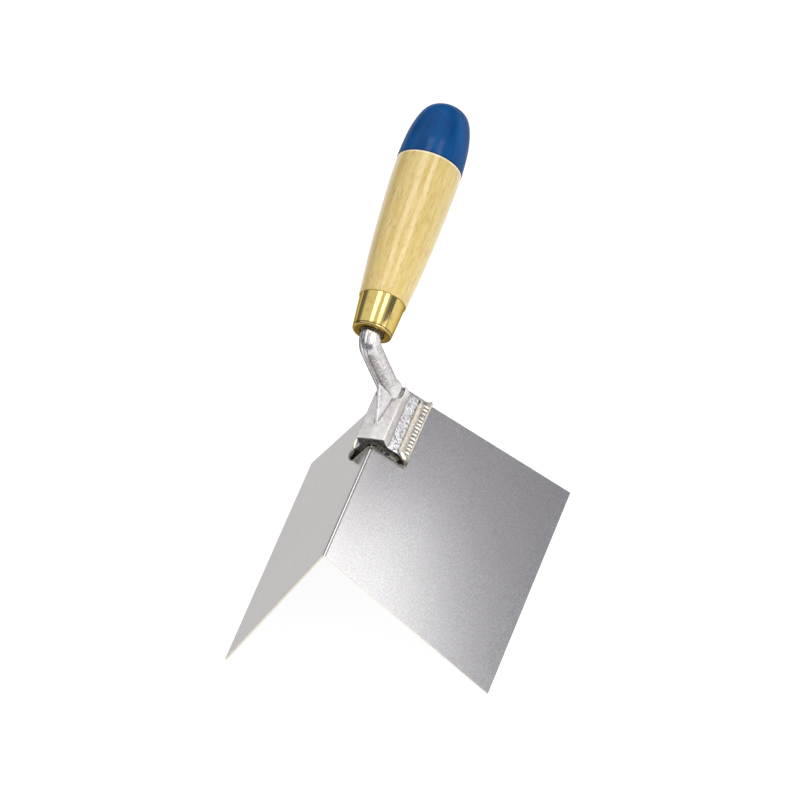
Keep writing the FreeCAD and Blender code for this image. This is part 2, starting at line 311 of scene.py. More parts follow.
class Graph:
    """Short way to write a material's nodes."""

    def __init__(self, name):
        self.material = bpy.data.materials.new(name)
        self.material.use_nodes = True
        self.tree = self.material.node_tree
        self.shader = self.tree.nodes["Principled BSDF"]

    def node(self, kind, inputs=None, **values):
        node = self.tree.nodes.new("ShaderNode" + kind)
        for key, value in values.items():
            setattr(node, key, value)
        for key, value in (inputs or {}).items():
            self.put(node.inputs[key], value)
        return node

    def put(self, socket, value):
        if isinstance(value, bpy.types.NodeSocket):
            self.tree.links.new(value, socket)
        else:
            socket.default_value = value

    def set(self, **values):
        for key, value in values.items():
            self.put(self.shader.inputs[key.replace("_", " ")], value)

    def place(self, scale=(1, 1, 1), tilt=0.0):
        """Position on the object, turned about X by tilt and stretched by scale."""
        where = self.node("TexCoord").outputs["Object"]
        turned = self.node("Mapping", {"Vector": where, "Rotation": (tilt, 0, 0)})
        return self.node(
            "Mapping", {"Vector": turned.outputs[0], "Scale": scale}
        ).outputs[0]

    def along_handle(self):
        """Distance along the handle's axis from the ferrule's rim, in millimetres."""
        where = self.node("TexCoord").outputs["Object"]
        along = self.node("VectorMath", {0: where, 1: AXIS / MM}, operation="DOT_PRODUCT")
        return self.math("SUBTRACT", along.outputs["Value"], RIM_CENTRE.dot(AXIS) / MM)

    def from_axis(self):
        """Distance from the handle's axis, in millimetres."""
        where = self.node("TexCoord").outputs["Object"]
        spoke = self.node("VectorMath", {0: where, 1: RIM_CENTRE}, operation="SUBTRACT")
        spoke = self.node("VectorMath", {0: spoke.outputs[0], 1: AXIS / MM}, operation="CROSS_PRODUCT")
        return self.node("VectorMath", {0: spoke.outputs[0]}, operation="LENGTH").outputs["Value"]

    def facing(self, direction, low, high):
        """How far the surface faces a direction of the object, from 0 at low to 1 at high."""
        normal = self.node("TexCoord").outputs["Normal"]
        share = self.node("VectorMath", {0: normal, 1: direction}, operation="DOT_PRODUCT")
        return self.spread(share.outputs["Value"], low, high)

    def noise(self, place, scale=1.0, detail=2.0, roughness=0.5):
        return self.node("TexNoise", {
            "Vector": place, "Scale": scale, "Detail": detail, "Roughness": roughness,
        }).outputs["Fac"]

    def spread(self, value, low, high, to_low=0.0, to_high=1.0):
        return self.node("MapRange", {
            "Value": value, "From Min": low, "From Max": high,
            "To Min": to_low, "To Max": to_high,
        }).outputs[0]

    def math(self, operation, a, b=0.0):
        node = self.node("Math", operation=operation)
        self.put(node.inputs[0], a)
        self.put(node.inputs[1], b)
        return node.outputs[0]

    def mix(self, share, first, second):
        node = self.node("Mix", data_type="RGBA")
        self.put(node.inputs["Factor"], share)
        self.put(node.inputs["A"], first)
        self.put(node.inputs["B"], second)
        return node.outputs["Result"]

    def bump(self, height, distance, strength=1.0, before=None):
        inputs = {"Height": height, "Distance": distance, "Strength": strength}
        if before is not None:
            inputs["Normal"] = before
        return self.node("Bump", inputs).outputs[0]


def rgb(red, green, blue):
    """Linear colour with full alpha, as shader sockets take it."""
    return (red, green, blue, 1.0)


# ---------------------------------------------------------------- materials

def satin_steel():
    """Stainless sheet with a fine sandy grain, rubbed brighter along the fold between two painted dark
    reflection lines.
    """
    g = Graph("satin_stainless")
    speckle = g.noise(g.place((1900, 1600, 1900)), detail=2, roughness=0.5)
    cloud = g.noise(g.place((22, 22, 22)), detail=3)
    across = g.node("SeparateXYZ", {0: g.node("TexCoord").outputs["Object"]}).outputs["X"]
    from_fold = g.math("ABSOLUTE", across)
    colour = g.mix(g.spread(speckle, 0.38, 0.62), rgb(0.44, 0.422, 0.411), rgb(0.625, 0.60, 0.585))
    colour = g.mix(g.spread(cloud, 0.35, 0.7, 0, 0.3), colour, rgb(0.50, 0.475, 0.46))
    # Painted reflection: a thin dark line on either side of the fold's bend
    from_dark_line = g.math("ABSOLUTE", g.math("SUBTRACT", from_fold, FOLD_DARK_LINE * MM))
    fold_dark_reflection = g.spread(from_dark_line, 0.12 * MM, 0.34 * MM, 0.85, 0)
    colour = g.mix(fold_dark_reflection, colour, rgb(0.09, 0.08, 0.08))
    rub = g.spread(from_fold, 0.45 * MM, 0.9 * MM, 0.2, 0)
    g.set(
        Base_Color=colour,
        Metallic=1.0,
        Roughness=g.math("SUBTRACT", g.spread(speckle, 0.3, 0.7, 0.28, 0.36), rub),
        Specular_Tint=rgb(0.8, 0.8, 0.8),
        Normal=g.bump(speckle, 0.00002, 0.35),
    )
    return g.material


def cut_edge_steel():
    """Bright sheared edge of the sheet, with drag lines through its thickness."""
    g = Graph("sheared_edge")
    lines = g.noise(g.place((1800, 1800, 300)), detail=2)
    g.set(
        Base_Color=g.mix(lines, rgb(0.55, 0.49, 0.38), rgb(0.88, 0.83, 0.70)),
        Metallic=1.0,
        Roughness=g.spread(lines, 0.3, 0.7, 0.2, 0.35),
        Normal=g.bump(lines, 0.00004, 0.4),
    )
    return g.material


def plated_steel():
    """Warm bright plating, with painted shade in its hollows, on its sheared ends and near its front end.
    """
    g = Graph("warm_plating")
    stain_and_shade = g.noise(g.place((520, 520, 520)), detail=4, roughness=0.65)
    fine = g.noise(g.place((1900, 1900, 1900)), detail=2)
    edges = g.node("NewGeometry").outputs["Pointiness"]
    concave_shade = g.spread(edges, 0.45, 0.495, 1, 0)
    worn = g.spread(edges, 0.56, 0.64)
    # Painted shade: the end faces and the last few millimetres at the front end go near black, varied by
    # the stain noise
    ends = g.math("MAXIMUM", g.facing((0, -1, 0), 0.6, 0.9), g.facing((0, 1, 0), 0.6, 0.9))
    along = g.node("SeparateXYZ", {0: g.node("TexCoord").outputs["Object"]}).outputs["Y"]
    front = FOLD_REAR.y - BRACKET_LENGTH * MM
    near_end = g.spread(along, front + 1.0 * MM, front + 4.6 * MM, 1, 0)
    front_end_shade = g.math("MULTIPLY", near_end, g.spread(stain_and_shade, 0.45, 0.6, 1.0, 0.35))
    painted_shade = g.math("MAXIMUM", g.math("MULTIPLY", ends, g.spread(stain_and_shade, 0.4, 0.62, 1.0, 0.9)), front_end_shade)
    colour = g.mix(g.spread(stain_and_shade, 0.35, 0.7), rgb(0.80, 0.74, 0.65), rgb(0.56, 0.50, 0.41))
    # Painted shade: concave creases and crimp hollows darkened
    colour = g.mix(g.math("MULTIPLY", concave_shade, 0.7), colour, rgb(0.17, 0.14, 0.11))
    colour = g.mix(painted_shade, colour, rgb(0.020, 0.019, 0.018))
    colour = g.mix(g.math("MULTIPLY", worn, 0.4), colour, rgb(0.92, 0.88, 0.80))
    g.set(
        Base_Color=colour,
        Metallic=1.0,
        Roughness=g.spread(stain_and_shade, 0.3, 0.7, 0.2, 0.4),
        Specular_Tint=rgb(0.6, 0.57, 0.52),
        Normal=g.bump(fine, 0.00004, 0.4, g.bump(stain_and_shade, 0.00012, 0.5)),
    )
    return g.material


def along_flap(g):
    """Distance down either wing from the fold, measured over the casting's foot."""
    split = g.node("SeparateXYZ", {0: g.node("TexCoord").outputs["Object"]}).outputs
    sideways = g.math("MULTIPLY", g.math("ABSOLUTE", split["X"]), SIN_HALF)
    down = g.math("MULTIPLY", g.math("SUBTRACT", FOLD_REAR.z, split["Z"]), COS_HALF)
    return g.math("ADD", sideways, down)


def parting_line_shade(g):
    """Painted shade: dark lines on both sides of the mould's parting line, on the front of the neck."""
    split = g.node("SeparateXYZ", {0: g.node("TexCoord").outputs["Object"]}).outputs
    beside = g.math("ABSOLUTE", g.math("SUBTRACT", g.math("ABSOLUTE", split["X"]), 0.9 * MM))
    line = g.spread(beside, 0.1 * MM, 0.42 * MM, 0.75, 0)
    above_foot = g.spread(split["Z"], FOLD_REAR.z + 14 * MM, FOLD_REAR.z + 16 * MM)
    return g.math("MULTIPLY", g.math("MULTIPLY", line, above_foot), g.facing((0, -1, 0.3), 0.5, 0.7))


def cast_aluminium():
    """Bright tumbled aluminium with a mottled cast skin, and painted shade in its creases, on its end
    faces, along the lip, beside the parting line and down the neck's left side.
    """
    g = Graph("cast_aluminium")
    sand = g.noise(g.place((1500, 1500, 1500)), detail=4, roughness=0.7)
    lumps = g.noise(g.place((330, 330, 330)), detail=4, roughness=0.6)
    blots = g.noise(g.place((620, 620, 620)), detail=3, roughness=0.7)
    edges = g.node("NewGeometry").outputs["Pointiness"]
    concave_shade = g.spread(edges, 0.43, 0.482, 1, 0)
    worn = g.spread(edges, 0.515, 0.57)
    ends = g.math("MAXIMUM", g.facing((0, -1, 0), 0.86, 0.97), g.facing((0, 1, 0), 0.9, 0.98))
    where = g.node("SeparateXYZ", {0: g.node("TexCoord").outputs["Object"]}).outputs["Z"]
    foot_only = g.spread(where, FOLD_REAR.z + 3 * MM, FOLD_REAR.z + 5 * MM, 1, 0)
    # Painted shade: the foot's front and rear end faces go near black, varied by the blots noise
    painted_shade = g.math("MULTIPLY", g.math("MULTIPLY", ends, foot_only), g.spread(blots, 0.35, 0.65, 1.0, 0.72))
    colour = g.mix(g.spread(lumps, 0.3, 0.7), rgb(0.68, 0.66, 0.655), rgb(0.90, 0.88, 0.865))
    on_neck = g.spread(where, FOLD_REAR.z + 6 * MM, FOLD_REAR.z + 12 * MM)
    mottle = g.math("MULTIPLY", on_neck, g.spread(blots, 0.42, 0.62, 0.15, 0.75))
    colour = g.mix(mottle, colour, rgb(0.45, 0.425, 0.435))
    colour = g.mix(g.spread(blots, 0.58, 0.7, 0, 0.28), colour, rgb(0.34, 0.32, 0.33))
    colour = g.mix(g.spread(sand, 0.6, 0.72, 0, 0.35), colour, rgb(0.30, 0.28, 0.29))
    # Painted shade: concave creases darkened
    colour = g.mix(g.math("MULTIPLY", concave_shade, 0.9), colour, rgb(0.07, 0.06, 0.065))
    # Painted shade: the neck's side facing left and a little to the front is darkened
    stain_and_shade = g.math("MULTIPLY", g.facing((-1, -0.25, 0), 0.62, 0.8), g.spread(lumps, 0.3, 0.6, 0.6, 0.9))
    stain_and_shade = g.math("MULTIPLY", stain_and_shade, g.spread(where, FOLD_REAR.z + 12 * MM, FOLD_REAR.z + 18 * MM))
    colour = g.mix(stain_and_shade, colour, rgb(0.13, 0.12, 0.125))
    colour = g.mix(parting_line_shade(g), colour, rgb(0.08, 0.07, 0.075))
    down_flap = along_flap(g)
    on_flange = g.math("MULTIPLY", foot_only, g.spread(down_flap, WALL_U * MM, (WALL_U + 0.6) * MM))
    specks = g.math("MULTIPLY", on_flange, g.spread(blots, 0.52, 0.62, 0, 0.75))
    colour = g.mix(specks, colour, rgb(0.13, 0.12, 0.125))
    # Painted shadow: a dark line on the flange where the bracket's lip overhangs it
    by_lip = g.spread(down_flap, (LIP[0] - 0.95) * MM, (LIP[0] - 0.6) * MM, 0, 0.9)
    lip_gap_shadow = g.math("MULTIPLY", foot_only, by_lip)
    colour = g.mix(lip_gap_shadow, colour, rgb(0.05, 0.045, 0.045))
    # Painted shade: dark lines along the casting's creases, from the attribute written in shank_skin
    creases = g.node("Attribute", attribute_name="painted_crease_shade").outputs["Fac"]
    creases = g.math("MULTIPLY", creases, g.spread(lumps, 0.35, 0.6, 0.45, 0.9))
    colour = g.mix(creases, colour, rgb(0.06, 0.052, 0.055))
    colour = g.mix(g.math("MULTIPLY", worn, 0.7), colour, rgb(0.93, 0.92, 0.90))
    # Painted shade on the foot's end faces
    colour = g.mix(painted_shade, colour, rgb(0.028, 0.027, 0.028))
    dull_foot = g.spread(where, FOLD_REAR.z + 4 * MM, FOLD_REAR.z + 12 * MM, 0.16, 0)
    g.set(
        Base_Color=colour,
        Metallic=1.0,
        Roughness=g.math("ADD", g.spread(sand, 0.3, 0.7, 0.15, 0.34), dull_foot),
        Specular_Tint=rgb(0.45, 0.43, 0.43),
        Normal=g.bump(sand, 0.00010, 0.5, g.bump(lumps, 0.0003, 0.3)),
    )
    return g.material


def polished_brass():
    """Polished brass with fine turning lines, light tarnish, a painted dark reflection line where the rim
    turns in, and painted shade round the hole and on the rim's face.
    """
    g = Graph("polished_brass")
    lines = g.noise(g.place((60, 2200, 60), tilt=-RISE), detail=2)
    spots = g.noise(g.place((260, 260, 260)), detail=4, roughness=0.7)
    fine_spots = g.noise(g.place((900, 900, 900)), detail=2)
    from_edge = g.math("ABSOLUTE", g.math("SUBTRACT", g.along_handle(), RIM_ROUND_END))
    edge_dark_reflection = g.spread(from_edge, 0.15, 0.55, 0.85, 0)
    colour = g.mix(g.spread(spots, 0.52, 0.72), rgb(0.70, 0.54, 0.19), rgb(0.48, 0.35, 0.10))
    colour = g.mix(g.spread(fine_spots, 0.66, 0.72, 0, 0.5), colour, rgb(0.25, 0.16, 0.05))
    # Painted shade: the rim's face darkened, and dark lines at the rim's rounding and round the hole
    rim_face_shade = g.spread(g.along_handle(), 0.2, 0.9, 0.7, 0)
    hole_shade = g.spread(g.from_axis(), FERRULE_HOLE + 0.25, FERRULE_HOLE + 1.0, 0.85, 0)
    colour = g.mix(rim_face_shade, colour, rgb(0.27, 0.18, 0.065))
    colour = g.mix(g.math("MAXIMUM", edge_dark_reflection, hole_shade), colour, rgb(0.10, 0.06, 0.025))
    g.set(
        Base_Color=colour,
        Metallic=1.0,
        Roughness=g.spread(spots, 0.3, 0.8, 0.07, 0.2),
        Specular_Tint=rgb(0.34, 0.27, 0.17),
        Normal=g.bump(lines, 0.00001, 0.3),
    )
    return g.material


def varnished_beech():
    """Pale beech: soft wavy growth bands, short dark flecks along the grain, clear varnish."""
    g = Graph("varnished_beech")
    where = g.place(tilt=-RISE)
    warp = g.node("TexNoise", {"Vector": where, "Scale": 60.0, "Detail": 2.0})
    shift = g.node("VectorMath", {0: warp.outputs["Color"], 1: (0.006, 0.0, 0.006)}, operation="MULTIPLY")
    wavy = g.node("VectorMath", {0: where, 1: shift.outputs[0]}, operation="ADD").outputs[0]
    stretch = g.node("Mapping", {"Vector": wavy, "Scale": (430, 24, 430)}).outputs[0]
    bands = g.noise(stretch, detail=4, roughness=0.65)
    threads = g.noise(g.place((1000, 55, 1000), tilt=-RISE), detail=3, roughness=0.6)
    flecks = g.noise(g.place((1500, 210, 1500), tilt=-RISE), detail=2)
    colour = g.mix(g.spread(bands, 0.38, 0.64), rgb(0.665, 0.505, 0.175), rgb(0.575, 0.40, 0.105))
    colour = g.mix(g.spread(threads, 0.42, 0.70, 0, 0.4), colour, rgb(0.735, 0.62, 0.31))
    colour = g.mix(g.spread(flecks, 0.57, 0.68, 0, 0.55), colour, rgb(0.42, 0.25, 0.07))
    along = g.along_handle()
    colour = g.mix(g.spread(along, DIP_START - 1.1, DIP_START - 0.7, 0, 0.6), colour, rgb(0.93, 0.87, 0.70))
    # Painted shade: the wood inside the ferrule goes near black
    colour = g.mix(g.spread(along, 16.0, 17.0, 1, 0), colour, rgb(0.05, 0.03, 0.015))
    g.set(
        Base_Color=colour,
        Roughness=g.spread(threads, 0.3, 0.7, 0.38, 0.5),
        Specular_IOR_Level=0.35,
        Coat_Weight=0.9,
        Coat_Roughness=0.12,
        Normal=g.bump(threads, 0.00003, 0.4, g.bump(flecks, 0.00003, 0.3)),
    )
    return g.material


def blue_lacquer():
    """Deep blue dip over the end grain, with a hint of the wood's texture."""
    g = Graph("blue_lacquer")
    flow = g.noise(g.place((120, 45, 120), tilt=-RISE), detail=3)
    grain = g.noise(g.place((900, 90, 900), tilt=-RISE), detail=2)
    from_edge = g.spread(g.along_handle(), DIP_START + 0.1, DIP_START + 1.1, 1, 0)
    colour = g.mix(g.spread(flow, 0.3, 0.7), rgb(0.004, 0.048, 0.165), rgb(0.008, 0.085, 0.26))
    colour = g.mix(g.math("MULTIPLY", from_edge, 0.8), colour, rgb(0.003, 0.012, 0.05))
    g.set(
        Base_Color=colour,
        Roughness=g.spread(grain, 0.3, 0.7, 0.22, 0.32),
        Specular_IOR_Level=0.0,
        Coat_Weight=0.22,
        Coat_Roughness=0.07,
        Normal=g.bump(grain, 0.00002, 0.25),
    )
    return g.material


def fused_steel():
    """Dull heat-tinted metal of a weld."""
    g = Graph("fused_steel")
    tint = g.noise(g.place((900, 900, 900)), detail=3)
    g.set(
        Base_Color=g.mix(tint, rgb(0.34, 0.30, 0.26), rgb(0.55, 0.5, 0.44)),
        Metallic=1.0,
        Roughness=g.spread(tint, 0.3, 0.7, 0.4, 0.6),
    )
    return g.material


# ---------------------------------------------------------------- pieces

def blade_section():
    """Stations of the left wing from its edge inwards and of the right one outwards, as (side, u)."""
    stations = [WING_WIDTH * k / 12 for k in range(12, 0, -1)]
    left = [(-1, u) for u in stations]
    right = [(1, u) for u in reversed(stations)]
    return left, right


def fold_points(height, radius, steps=10):
    """Points round the bend of a folded face, from its left tangent to its right one."""
    centre_z = (height - radius) / SIN_HALF
    points = []
    for i in range(steps + 1):
        angle = math.pi - HALF_ANGLE - (math.pi - 2 * HALF_ANGLE) * i / steps
        x = radius * math.cos(angle)
        z = centre_z + radius * math.sin(angle)
        points.append(FOLD_REAR + Vector((x, 0, z)) * MM)
    return points


def folded_blade():
    """The folded sheet: square at the rear, running forward to its outer front corners."""
    left, right = blade_section()
    rows = []
    for height, radius in ((0, BLADE_BEND), (-BLADE_THICKNESS, BLADE_BEND - BLADE_THICKNESS)):
        row = [on_wing(side, u, height) for side, u in left]
        row += fold_points(height, radius)
        row += [on_wing(side, u, height) for side, u in right]
        rows.append(row)
    count = len(rows[0])
    slope = (WING_OUTER_LENGTH - FOLD_LENGTH) / WING_WIDTH
    points = []
    for row in rows:
        for point in row:
            points.append(point)
    for row in rows:
        for point in row:
            u = abs(point.x) / SIN_HALF / MM
            points.append(point - Vector((0, (FOLD_LENGTH + slope * u) * MM, 0)))
    top_rear, under_rear, top_front, under_front = (k * count for k in range(4))
    faces = []
    for i in range(count - 1):
        j = i + 1
        faces.append((top_rear + i, top_rear + j, top_front + j, top_front + i))
        faces.append((under_rear + j, under_rear + i, under_front + i, under_front + j))
        faces.append((top_rear + j, top_rear + i, under_rear + i, under_rear + j))
        faces.append((top_front + i, top_front + j, under_front + j, under_front + i))
    last = count - 1
    faces.append((top_rear, top_front, under_front, under_rear))
    faces.append((top_rear + last, under_rear + last, under_front + last, top_front + last))
    obj = mesh_from("folded_blade", points, faces)
    shade(obj)
    modify(obj, "BEVEL", width=0.12 * MM, segments=2, limit_method="ANGLE",
           angle_limit=math.radians(50), material=1, harden_normals=True)
    apply_modifiers(obj)
    obj.data.materials.append(satin_steel())
    obj.data.materials.append(cut_edge_steel())
    paint_cut_edges(obj)
    return obj


def paint_cut_edges(obj):
    """Gives the sheet's narrow edge faces the sheared-edge material."""
    for face in obj.data.polygons:
        normal = face.normal
        on_face = abs(abs(normal.x) * COS_HALF + abs(normal.z) * SIN_HALF - 1) < 0.02
        bent = abs(face.center.x) < 3 * MM and abs(normal.y) < 0.1
        face.material_index = 0 if on_face or bent else 1


def bracket_path():
    """Outer face of half the bracket as (point without y, flap share) from the fold outwards."""
    path = []
    for point in fold_points(0, BLADE_BEND, 12)[6:]:
        path.append((point, 0.0))
    for k in range(1, 7):
        path.append((on_wing(1, FLAT_START + (ROLL_U - FLAT_START) * k / 6, 0), 0.0))
    roll_steps = 18
    for k in range(1, roll_steps + 1):
        angle = -math.pi / 2 + math.pi * k / roll_steps
        u = ROLL_U + ROLL_RADIUS * math.cos(angle)
        height = ROLL_RADIUS + ROLL_RADIUS * math.sin(angle)
        path.append((on_wing(1, u, height), max(0.0, k / roll_steps - 0.5) * 0.5))
    flap = arc_through((ROLL_U, 2 * ROLL_RADIUS), DISH, LIP, 16)[1:]
    for k, (u, height) in enumerate(flap, start=1):
        path.append((on_wing(1, u, height), 0.25 + 0.75 * k / len(flap)))
    return path


def crimp_drop(flap_share, along, presses):
    """How far a cross crimp presses the flap down at a place on it, in millimetres."""
    across = smoothstep(0.18, 0.28, flap_share) * (1 - smoothstep(0.74, 0.84, flap_share))
    drop = 0.0
    for centre, depth in presses:
        near = abs(along - centre) / CRIMP_HALF_WIDTH
        drop = max(drop, depth * (1 - smoothstep(0.3, 1.0, near)))
    return drop * across


def bracket_side_presses(seed):
    """Uneven crimps of one flap, as (place along it, depth) in millimetres."""
    dice = random.Random(seed)
    middle = BRACKET_LENGTH / 2
    first = middle - CRIMP_PITCH * (CRIMP_COUNT - 1) / 2
    return [
        (first + CRIMP_PITCH * i + dice.uniform(-0.32, 0.32), CRIMP_DEPTH * dice.uniform(0.4, 1.1))
        for i in range(CRIMP_COUNT)
    ]


def crimped_bracket():
    """Folded saddle sheet with rolled, cross-crimped flaps that taper at both ends."""
    half = bracket_path()
    presses = {-1: bracket_side_presses(3), 1: bracket_side_presses(8)}
    columns = [(-1, p, share) for p, share in reversed(half[1:])]
    columns += [(1, p, share) for p, share in half]
    rows = 164
    points = []
    for side, point, share in columns:
        x = abs(point.x - FOLD_REAR.x) * side
        setback = LIP_SETBACK * smoothstep(0.02, 0.95, share)
        for k in range(rows + 1):
            along = setback + (BRACKET_LENGTH - 2 * setback) * k / rows
            curl = 0.0
            if share > 0.1:
                end_gap = min(along - setback, BRACKET_LENGTH - setback - along)
                curl = FLAP_END_DROP * (1 - smoothstep(0, FLAP_END_LENGTH, end_gap)) * share
            drop = crimp_drop(share, along, presses[side]) + curl
            down = Vector((side * COS_HALF, 0, SIN_HALF)) * -drop * MM
            points.append(Vector((x, FOLD_REAR.y - along * MM, point.z)) + down)
    faces = []
    span = rows + 1
    for i in range(len(columns) - 1):
        for k in range(rows):
            a = i * span + k
            faces.append((a, a + 1, a + span + 1, a + span))
    obj = mesh_from("crimped_bracket", points, faces)
    shade(obj, 60)
    inward = obj.data.polygons[len(faces) // 2].normal.z < 0
    modify(obj, "SOLIDIFY", thickness=BRACKET_THICKNESS * MM, offset=1 if not inward else -1,
           use_even_offset=False)
    modify(obj, "BEVEL", width=0.22 * MM, segments=3, limit_method="ANGLE",
           angle_limit=math.radians(60))
    apply_modifiers(obj)
    shade(obj, 50)
    obj.data.materials.append(plated_steel())
    return obj


def rough_cast(point):
    """Height of the casting's own skin at a point, in millimetres."""
    local = (point - FOLD_REAR) / MM
    side = 1 if local.x >= 0 else -1
    height = side * local.x * COS_HALF + local.z * SIN_HALF
    u = side * local.x * SIN_HALF - local.z * COS_HALF
    flange = smoothstep(7.6, 8.6, u) * smoothstep(3.2, 3.8, height) * (1 - smoothstep(5.4, 6, height))
    skin = 0.06 * noise.noise(local * 0.5) + 0.03 * noise.noise(local * 1.4)
    pits = 0.11 * noise.noise(local * 1.9 + Vector((7, 3, 1)))
    return skin + flange * pits


def painted_crease_shade(point):
    """How dark the painted shade in the casting's creases is at a point, from 0 to 1."""
    local = (point - FOLD_REAR) / MM
    across = abs(local.x)
    height = across * COS_HALF + local.z * SIN_HALF
    u = across * SIN_HALF - local.z * COS_HALF
    from_neck = math.hypot(local.x, local.y - NECK_Y)
    gaps = [math.hypot(u - WALL_U, height - FLANGE_HEIGHT)]
    if height < 5:
        gaps.append(abs(u - LIP[0] + 0.3))
    if local.z < ROOF_SHADE_TOP:
        gaps.append(abs(from_neck - NECK_FLARE) * 0.8)
        share = (local.y - GUSSET_FRONT) / (NECK_Y - GUSSET_FRONT)
        if 0 < share < 1:
            gaps.append(abs(across - GUSSET_RIDGE - (GUSSET_HALF - GUSSET_RIDGE) * share * 1.1))
    if NECK_SHADE_START < local.z < GUSSET_TOP and local.y < NECK_Y:
        share = (GUSSET_TOP - local.z) / (GUSSET_TOP - ROOF_EDGE)
        beside = abs(across - GUSSET_TOP_HALF - (GUSSET_HALF - GUSSET_TOP_HALF) * share)
        gaps.append(max(beside, abs(from_neck - NECK_RADIUS) - 0.3))
    return 1 - smoothstep(0.05, 0.45, min(gaps))


def foot_crease(point):
    """Crease where the neck's flared foot meets the roof behind it, in millimetres."""
    local = (point - FOLD_REAR) / MM
    reach = math.hypot(local.x, local.y - NECK_Y)
    ring = 1 - smoothstep(0.25, 0.8, abs(reach - FOOT_CREASE_RADIUS))
    low = smoothstep(2.6, 3.4, local.z) * (1 - smoothstep(5.4, 6.6, local.z))
    behind = smoothstep(-12.0, -8.0, local.y)
    return -FOOT_CREASE_DEPTH * ring * low * behind


def shank_skin():
    """The casting with softened edges and an uneven cast skin, from the CAD shape."""
    obj = add_object("shank_skin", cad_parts["shank_casting"].data.copy())
    obj.data.materials.clear()
    modify(obj, "WELD", merge_threshold=0.005 * MM)
    modify(obj, "REMESH", mode="VOXEL", voxel_size=CAST_VOXEL * MM, use_smooth_shade=True)
    modify(obj, "SMOOTH", factor=0.5, iterations=2)
    apply_modifiers(obj)
    normals = [v.normal.copy() for v in obj.data.vertices]
    for vertex, normal in zip(obj.data.vertices, normals):
        lift = rough_cast(vertex.co) + foot_crease(vertex.co)
        vertex.co += normal * lift * MM
    # Painted shade for the creases, stored per vertex
    painted_shade = obj.data.attributes.new("painted_crease_shade", "FLOAT", "POINT")
    for vertex, value in zip(obj.data.vertices, painted_shade.data):
        value.value = painted_crease_shade(vertex.co)
    obj.data.materials.append(cast_aluminium())
    return obj


def ferrule_cup():
    """Brass cup: tapered side, rounded rim turned in towards the neck, real wall."""
    rim = (0.0, FERRULE_RIM)
    hole = (0.25, FERRULE_HOLE)
    hole_in = (FERRULE_WALL + 0.1, FERRULE_HOLE)
    base_in = (FERRULE_WALL, FERRULE_RIM - FERRULE_WALL)
    top_in = (FERRULE_LENGTH, FERRULE_TOP - FERRULE_WALL)
    top = (FERRULE_LENGTH, FERRULE_TOP)
    middle = (FERRULE_LENGTH / 2, (FERRULE_RIM + FERRULE_TOP) / 2)
    outline = rounded(rim, hole, middle, 1.3, 8)
    outline += [middle]
    outline += rounded(top, middle, top_in, 0.25, 3)
    outline += [top_in, base_in]
    outline += rounded(hole_in, base_in, hole, 0.15, 2) + rounded(hole, hole_in, rim, 0.3, 3)
    obj = lathe("ferrule_cup", outline)
    shade(obj, 40)
    obj.data.materials.append(polished_brass())
    return obj


def dome_outline(extra=0.0):
    """Outline of the handle from its shoulder to its tip, moved outwards by extra."""
    tip = (HANDLE_LENGTH + extra, 0.0)
    knots = [(along, radius + extra) for along, radius in WOOD_OUTLINE] + [tip]
    first_way = Vector(WOOD_OUTLINE[1]) - Vector(WOOD_OUTLINE[0])
    outline = spline_outline(knots, first_way, (0, -1), 10)
    outline[-1] = tip
    return outline


def turned_handle():
    """Beech handle with the ferrule's seat and the tang's bore."""
    seat_end = (FERRULE_LENGTH, FERRULE_TOP - FERRULE_WALL)
    seat_start = (FERRULE_WALL, FERRULE_RIM - FERRULE_WALL)
    shoulder = WOOD_OUTLINE[0]
    after = WOOD_OUTLINE[1]
    outline = [(TANG[1][0], 0.0), TANG[1], TANG[0], (FERRULE_WALL, TANG[0][1]), seat_start, seat_end]
    outline += rounded(shoulder, seat_end, after, 0.35, 4)
    outline += dome_outline()[2:]
    obj = lathe("turned_handle", outline)
    shade(obj, 40)
    obj.data.materials.append(varnished_beech())
    return obj


def lacquer_film():
    """Lacquer film over the handle's end, with a rounded bead at its edge."""
    outer = [(s, r) for s, r in dome_outline(DIP_THICKNESS) if s > DIP_START + 1]
    inner = [(s, r) for s, r in dome_outline(0.02) if s > DIP_START + 1]
    edge_radius = outer[0][1]
    bead = [
        (DIP_START, edge_radius - DIP_THICKNESS * 0.9),
        (DIP_START + 0.02, edge_radius - 0.06),
        (DIP_START + 0.18, edge_radius + 0.02),
        (DIP_START + 0.6, edge_radius + 0.01),
    ]
    outline = inner[::-1] + bead + outer
    outline[-1] = (outline[-1][0], 0.0)
    outline[0] = (outline[0][0], 0.0)
    obj = lathe("lacquer_film", outline)
    shade(obj, 60)
    obj.data.materials.append(blue_lacquer())
    return obj


def dress(obj, node):
    """Puts a piece on the root body in place of its CAD node."""
    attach(obj, "root")
    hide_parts(node)


# ---------------------------------------------------------------- studio

def softbox(name, place, aim, size, radiance, along=(0, 1, 0), colour=(1, 1, 1)):
    """Rectangular area light of a given brightness, whose second side runs along a direction."""
    data = bpy.data.lights.new(name, "AREA")
    data.shape = "RECTANGLE"
    data.size, data.size_y = size
    data.energy = radiance * math.pi * size[0] * size[1]
    data.color = colour
    light = bpy.data.objects.new(name, data)
    bpy.context.scene.collection.objects.link(light)
    back = (Vector(place) - Vector(aim)).normalized()
    side = Vector(along).cross(back).normalized()
    turn = Matrix((side, back.cross(side), back)).transposed().to_4x4()
    light.matrix_world = Matrix.Translation(place) @ turn
    light.visible_camera = False


